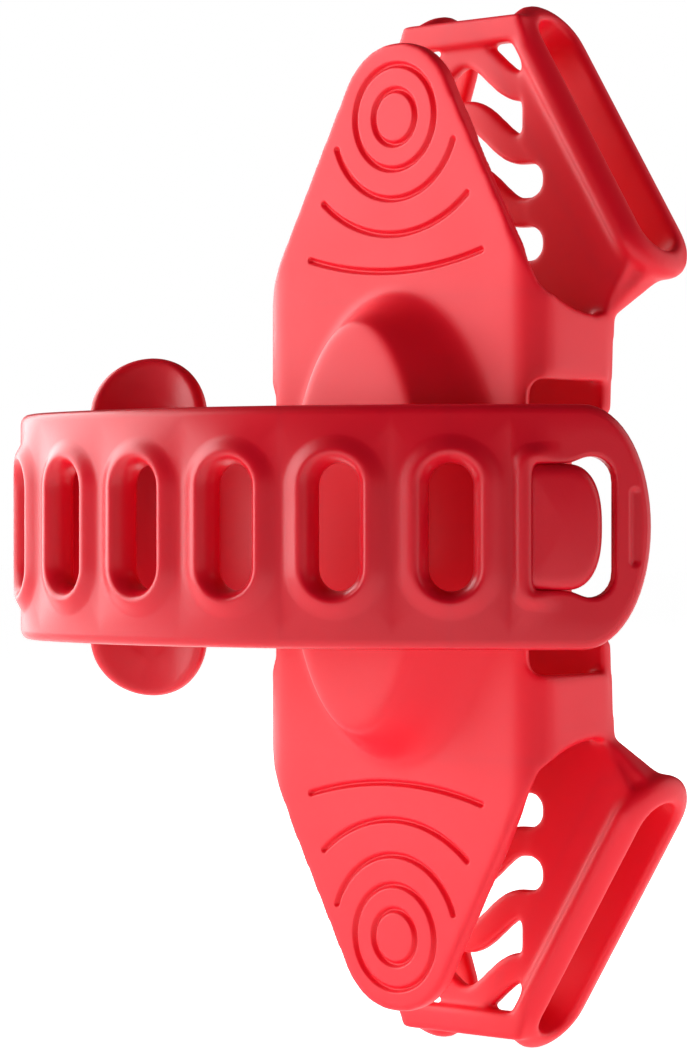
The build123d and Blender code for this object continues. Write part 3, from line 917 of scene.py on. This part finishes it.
def neck():
    """Neck from the tunnel's end up through the ring's hole to the tongue."""
    y = STRAP_RUN_Y
    line = catmull_rom([(20.6, y - 1.35), (22.6, y - 1.4), (24.6, y - 2.2), (26.7, y - 5.6), (27.5, y - 8.6),
                        (27.7, y - 10.8)], 6)
    verts, count = [], 20
    for k, point in enumerate(line):
        ahead = line[min(k + 1, len(line) - 1)] - line[max(k - 1, 0)]
        ahead = ahead / np.linalg.norm(ahead)
        out = np.array([-ahead[1], ahead[0]])
        share = k / (len(line) - 1)
        half_z = 7.5 - 1.7 * math.sin(math.pi * min(1.0, share * 1.4) / 2)
        for i in range(count):
            a = 2 * math.pi * i / count
            c, s = math.cos(a), math.sin(a)
            across = half_z * math.copysign(abs(c) ** 0.4, c)
            lift = 1.3 * math.copysign(abs(s) ** 0.7, s)
            verts.append((point[0] + out[0] * lift, point[1] + out[1] * lift, across))
    rings = len(line)
    faces = tube_faces(rings, count, False)
    faces += [tuple(reversed(range(count))), tuple(range((rings - 1) * count, rings * count))]
    return cleaned(np.array(verts), faces)


# ---- materials ----
def silicone(name, colour, deep, roughness):
    """Matt moulded silicone: faint mottling and a very fine grain."""
    material = bpy.data.materials.new(name)
    material.use_nodes = True
    nodes, links = material.node_tree.nodes, material.node_tree.links
    shader = nodes["Principled BSDF"]
    shader.inputs["IOR"].default_value = 1.43
    shader.inputs["Specular IOR Level"].default_value = 0.5
    shader.inputs["Subsurface Weight"].default_value = 0.18
    shader.inputs["Subsurface Radius"].default_value = (1.0, 0.12, 0.08)
    shader.inputs["Subsurface Scale"].default_value = 0.0022
    place = nodes.new("ShaderNodeTexCoord")
    mottle = nodes.new("ShaderNodeTexNoise")
    mottle.inputs["Scale"].default_value = 90.0
    mottle.inputs["Detail"].default_value = 3.0
    mix = nodes.new("ShaderNodeMix")
    mix.data_type = "RGBA"
    mix.inputs["A"].default_value = (*colour, 1.0)
    mix.inputs["B"].default_value = (*deep, 1.0)
    links.new(place.outputs["Object"], mottle.inputs["Vector"])
    links.new(mottle.outputs["Fac"], mix.inputs["Factor"])
    links.new(mix.outputs["Result"], shader.inputs["Base Color"])
    rough = nodes.new("ShaderNodeMapRange")
    rough.inputs["To Min"].default_value = roughness - 0.06
    rough.inputs["To Max"].default_value = roughness + 0.06
    links.new(mottle.outputs["Fac"], rough.inputs["Value"])
    links.new(rough.outputs["Result"], shader.inputs["Roughness"])
    grain = nodes.new("ShaderNodeTexNoise")
    grain.inputs["Scale"].default_value = 5200.0
    grain.inputs["Detail"].default_value = 2.0
    links.new(place.outputs["Object"], grain.inputs["Vector"])
    bump = nodes.new("ShaderNodeBump")
    bump.inputs["Strength"].default_value = 0.18
    bump.inputs["Distance"].default_value = 0.00006
    links.new(grain.outputs["Fac"], bump.inputs["Height"])
    links.new(bump.outputs["Normal"], shader.inputs["Normal"])
    return material


def plain(name, colour, roughness):
    """Plain surface for the floor."""
    material = bpy.data.materials.new(name)
    material.use_nodes = True
    shader = material.node_tree.nodes["Principled BSDF"]
    shader.inputs["Base Color"].default_value = (*colour, 1.0)
    shader.inputs["Roughness"].default_value = roughness
    return material


holder_red = silicone("holder_silicone", (0.82, 0.002, 0.018), (0.76, 0.0015, 0.014), 0.46)
# Same silicone as the holder, with a darker base colour that is painted shade over the whole strap
strap_red_painted_shade = silicone("strap_silicone", (0.62, 0.001, 0.014), (0.56, 0.001, 0.011), 0.34)


# ---- holder pieces ----
def build_holder():
    """Holder skin cut into its core, tab, wing and corner loop pieces."""
    verts, faces = holder_skin()
    normals = vertex_normals(verts, faces)
    middles = np.array([verts[list(f)].mean(axis=0) for f in faces])
    x, y, z = np.abs(middles[:, 0]), middles[:, 1], np.abs(middles[:, 2])
    depth = (LOOP_X - x) * ACROSS[0] + (LOOP_Z - z) * ACROSS[2]
    is_tab = (y < BACK_Y + 4.5) & (z > 28.3)
    is_front = (z > CORE_Z + 0.4) & (y > REST_Y - 3.0)
    raised = y > FRONT_Y + 0.6
    is_corner = is_front & (z > 29.6) & ((depth < 7.3) | raised) & ((x > 24.0) | (z > WING_ROOT_Z) | raised)
    is_wing = is_front & ~is_corner
    upper, right = middles[:, 2] > 0, middles[:, 0] > 0

    def part_of(mask):
        """Faces that a mask picks."""
        return [faces[i] for i in np.flatnonzero(mask)]

    core = piece("holder_core", verts, part_of(~is_tab & ~is_front), normals, holder_red)
    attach(core, "core")
    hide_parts("back_plate", "left_side_wall", "right_side_wall", "phone_rest", "bar_saddle")
    for half, sign in (("upper", 1), ("lower", -1)):
        here = upper if sign > 0 else ~upper
        tab = piece(f"{half}_tab_skin", verts, part_of(is_tab & here), normals, holder_red)
        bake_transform(tab)
        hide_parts(f"{half}_finger_tab")
        wing = piece(f"{half}_wing_skin", verts, part_of(is_wing & here), normals, holder_red)
        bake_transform(wing)
        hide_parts(f"{half}_stretch_band", f"{half}_wave_lattice", f"{half}_side_panels",
                    f"{half}_rim")
        for side, turn in (("left", -1), ("right", 1)):
            here_side = right if turn > 0 else ~right
            chosen = part_of(is_corner & here & here_side)
            corner = piece(f"{half}_{side}_loop_skin", verts, chosen, normals, holder_red)
            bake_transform(corner)
            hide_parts(f"{half}_{side}_loop")


def strap_point(s):
    """Point on the strap's outer face in metres."""
    (x, y), _ = strap_frame(s)
    return (x * MM, y * MM, 0.0)


def build_strap():
    """Strap skin cut between its joints, with the tongue, the neck and both ears."""
    verts, faces, stations = strap_skin()
    normals = vertex_normals(verts, faces)
    middles = np.array([stations[list(f)].mean() for f in faces])
    cut = [LINK_START + count * SLOT_PITCH for count in range(LINKS + 1)]
    plan = (
        ("strap_root_skin", -100.0, cut[0] + SLOT_PITCH / 2, "core", "strap_bend", cut[0],
         ("strap_anchor", "strap_ear_span", "strap_link_1")),
        ("strap_far_skin", cut[0] + SLOT_PITCH / 2, cut[2], "strap_bend", "strap_far", cut[1],
         ("strap_link_2",)),
        ("strap_middle_skin", cut[2], cut[4], "strap_far", "strap_mid", cut[3],
         ("strap_link_3", "strap_link_4")),
        ("strap_near_skin", cut[4], cut[5] + SLOT_PITCH / 2, "strap_mid", "strap_near", cut[5],
         ("strap_link_5", "strap_link_6")),
        ("strap_ring_skin", cut[5] + SLOT_PITCH / 2, 1000.0, "strap_near", "strap_ring", cut[6],
         ("strap_ring_end",)),
    )
    for name, low, high, first, second, joint, nodes in plan:
        chosen = [faces[i] for i in np.flatnonzero((middles > low) & (middles < high))]
        obj = piece(name, verts, chosen, normals, strap_red_painted_shade)
        strap_point(joint - 1.6)
        strap_point(joint + 1.6)
        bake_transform(obj)
        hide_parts(*nodes)
    for name, solid, body, nodes in (("tongue_skin", tongue(), "hook", ("hook_tongue",)),
                                     ("neck_skin", neck(), "core", ("hook_neck",))):
        points, polygons = solid
        obj = piece(name, points, polygons, vertex_normals(points, polygons), strap_red_painted_shade)
        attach(obj, body)
        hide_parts(*nodes)
    for name, turn in (("upper_ear_skin", 1), ("lower_ear_skin", -1)):
        points, polygons = mirrored(ear(), 1, turn)
        obj = piece(name, points, polygons, vertex_normals(points, polygons), strap_red_painted_shade)
        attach(obj, "core")
        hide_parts("strap_ears")


build_holder()
build_strap()


# ---- stage, light and camera ----
FILL = 0.05


def stage():
    """Pale floor and a world that the camera sees as white but that lights the part only faintly."""
    floor_z = cad_box[0][2]
    half = 4.0
    mesh = bpy.data.meshes.new("floor")
    corners = [(-half, -half, floor_z), (half, -half, floor_z), (half, half, floor_z), (-half, half, floor_z)]
    mesh.from_pydata(corners, [], [(0, 1, 2, 3)])
    floor = bpy.data.objects.new("floor", mesh)
    bpy.context.scene.collection.objects.link(floor)
    material = plain("pale_floor", (0.9, 0.9, 0.9), 0.9)
    shader = material.node_tree.nodes["Principled BSDF"]
    shader.inputs["Emission Color"].default_value = (1.0, 1.0, 1.0, 1.0)
    shader.inputs["Emission Strength"].default_value = 0.95
    mesh.materials.append(material)
    world = bpy.data.worlds.new("studio")
    bpy.context.scene.world = world
    world.use_nodes = True
    nodes, links = world.node_tree.nodes, world.node_tree.links
    background = nodes["Background"]
    background.inputs["Color"].default_value = (1, 1, 1, 1)
    path = nodes.new("ShaderNodeLightPath")
    strength = nodes.new("ShaderNodeMapRange")
    strength.inputs["To Min"].default_value = FILL
    strength.inputs["To Max"].default_value = 1.0
    links.new(path.outputs["Is Camera Ray"], strength.inputs["Value"])
    links.new(strength.outputs["Result"], background.inputs["Strength"])


def soft_light(name, place, aim, size, power):
    """Rectangular soft box that faces a point."""
    data = bpy.data.lights.new(name, "AREA")
    data.shape = "RECTANGLE"
    data.size, data.size_y = size
    data.energy = power
    obj = bpy.data.objects.new(name, data)
    obj.location = place
    obj.rotation_euler = (Vector(aim) - Vector(place)).to_track_quat("-Z", "Y").to_euler()
    bpy.context.scene.collection.objects.link(obj)


CAMERA_TURN = math.radians(42.0)
CAMERA_DISTANCE = 444.4
CAMERA_ASIDE = -1.28


def camera():
    """Camera level with the part, and the directions to its right and ahead of it."""
    right = np.array([math.cos(CAMERA_TURN), math.sin(CAMERA_TURN), 0.0])
    ahead = np.array([-math.sin(CAMERA_TURN), math.cos(CAMERA_TURN), 0.0])
    place = CAMERA_ASIDE * right - CAMERA_DISTANCE * ahead
    data = bpy.data.cameras.new("camera")
    data.sensor_fit = "VERTICAL"
    data.sensor_height = 36.0
    data.lens = 123.6
    data.clip_start = 0.01
    obj = bpy.data.objects.new("camera", data)
    obj.location = Vector(place * MM)
    obj.rotation_euler = Vector(ahead).to_track_quat("-Z", "Y").to_euler()
    bpy.context.scene.collection.objects.link(obj)
    bpy.context.scene.camera = obj
    return right, ahead


right, ahead = camera()
stage()
soft_light("key", tuple(-0.64 * right + 0.28 * ahead), (0, 0, 0), (1.1, 1.3), 24.0)
soft_light("far_right", tuple(0.696 * right + 0.073 * ahead), (0, 0, 0), (1.0, 1.0), 4.0)
bpy.context.scene.view_settings.view_transform = "Standard"
